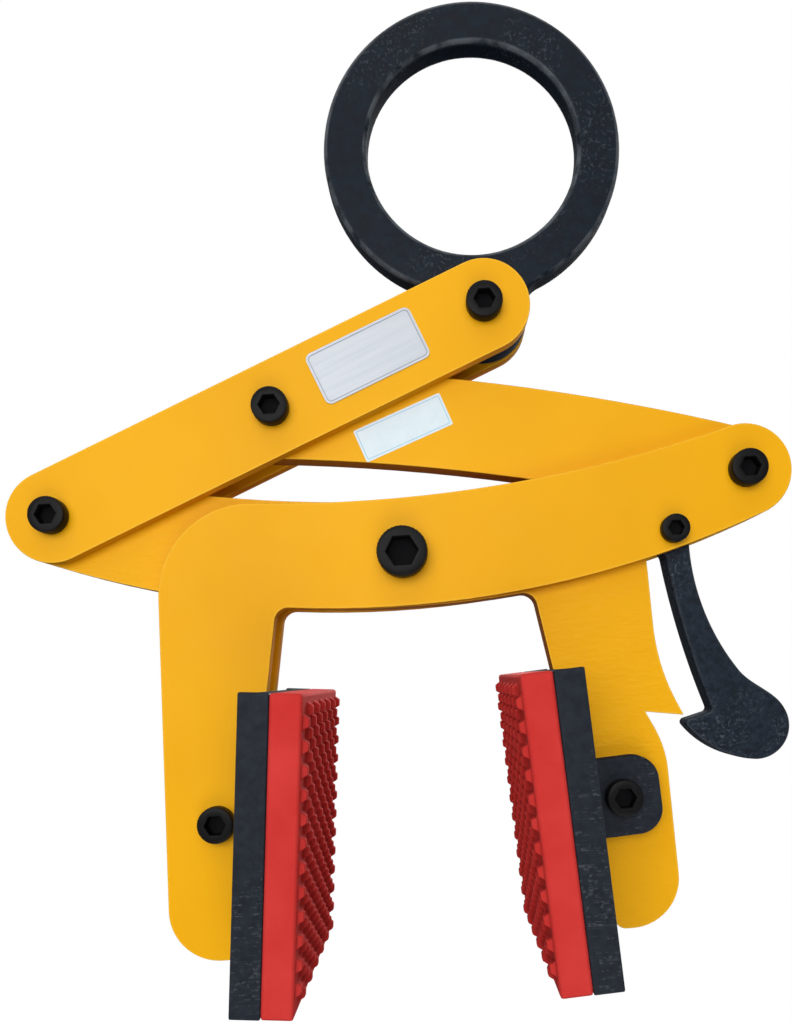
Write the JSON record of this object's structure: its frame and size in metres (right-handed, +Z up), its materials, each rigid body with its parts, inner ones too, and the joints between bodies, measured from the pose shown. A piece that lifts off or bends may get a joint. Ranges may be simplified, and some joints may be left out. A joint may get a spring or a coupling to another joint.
{
  "type": "stone lifting clamp",
  "caption": "Scissor stone lifting clamp: a lifting ring pulls a lever linkage that closes crossed jaws with studded rubber pads, and a hook latches the jaws open.",
  "frame": {"origin": "centre of the lifting ring's hole, in the middle of the plate stack", "axes": "+Z up, from the jaws to the ring; +Y through the plates, away from the screw heads; +X towards the latch hook"},
  "size_m": [0.28, 0.088, 0.3488],
  "materials": {
    "yellow_paint": "gloss yellow-orange enamel",
    "black_paint": "satin black paint on rough steel",
    "black_oxide": "black oxide",
    "red_rubber": "moulded, studded"
  },
  "bodies": {
    "ring": {"lifting_ring": "black_paint"},
    "lever": {"lever_plate_front": "yellow_paint", "lever_plate_rear": "yellow_paint", "lever_tail_bolt": "black_oxide", "lever_tail_nut": "black_oxide", "lever_link_bolt": "black_oxide", "lever_link_nut": "black_oxide", "ring_bolt": "black_oxide", "ring_nut": "black_oxide"},
    "drag_link": {"drag_link": "yellow_paint"},
    "right_jaw": {"right_jaw": "yellow_paint"},
    "left_jaw": {"left_jaw_plate_front": "yellow_paint", "left_jaw_plate_rear": "yellow_paint", "main_bolt": "black_oxide", "main_nut": "black_oxide", "link_tail_bolt": "black_oxide", "link_tail_nut": "black_oxide", "hook_bolt": "black_oxide", "hook_nut": "black_oxide", "left_pad_bolt": "black_oxide", "left_pad_nut": "black_oxide"},
    "hook": {"latch_hook": "black_paint"},
    "left_pad": {"left_pad_carrier": "black_paint", "left_pad_rubber": "red_rubber"},
    "right_pad": {"right_pad_carrier": "black_paint", "right_pad_rubber": "red_rubber", "right_pad_bolt": "black_oxide", "right_pad_nut": "black_oxide"}
  },
  "joints": [
    {"name": "ring_swing", "type": "hinge", "parent": "ring", "child": "lever", "pos_m": [0, 0, -0.05925], "axis": [0, 1, 0], "range_deg": [-70, 52]},
    {"name": "lever_fold", "type": "hinge", "parent": "lever", "child": "right_jaw", "pos_m": [-0.15824, 0, -0.12405], "axis": [0, 1, 0], "range_deg": [0, 29.54]},
    {"name": "jaw_close", "type": "hinge", "parent": "right_jaw", "child": "left_jaw", "pos_m": [-0.03474, 0, -0.14555], "axis": [0, -1, 0], "range_deg": [0, 28.01]},
    {"name": "link_fold", "type": "hinge", "parent": "lever", "child": "drag_link", "pos_m": [-0.07773, 0, -0.09108], "axis": [0, 1, 0], "range_deg": [0, 22.75]},
    {"name": "hook_latch", "type": "hinge", "parent": "left_jaw", "child": "hook", "pos_m": [0.06175, 0, -0.14355], "axis": [0, -1, 0], "range_deg": [-8, 72]},
    {"name": "left_pad_tilt", "type": "hinge", "parent": "left_jaw", "child": "left_pad", "pos_m": [-0.1065, 0, -0.23675], "axis": [0, 1, 0], "range_deg": [-3, 12]},
    {"name": "right_pad_tilt", "type": "hinge", "parent": "right_jaw", "child": "right_pad", "pos_m": [0.03701, 0, -0.23675], "axis": [0, -1, 0], "range_deg": [-0.5, 14]}
  ],
  "couplings": [
    {"joint": "jaw_close", "follows": "lever_fold", "ratio": 0.94787},
    {"joint": "link_fold", "follows": "lever_fold", "ratio": 0.76986}
  ]
}
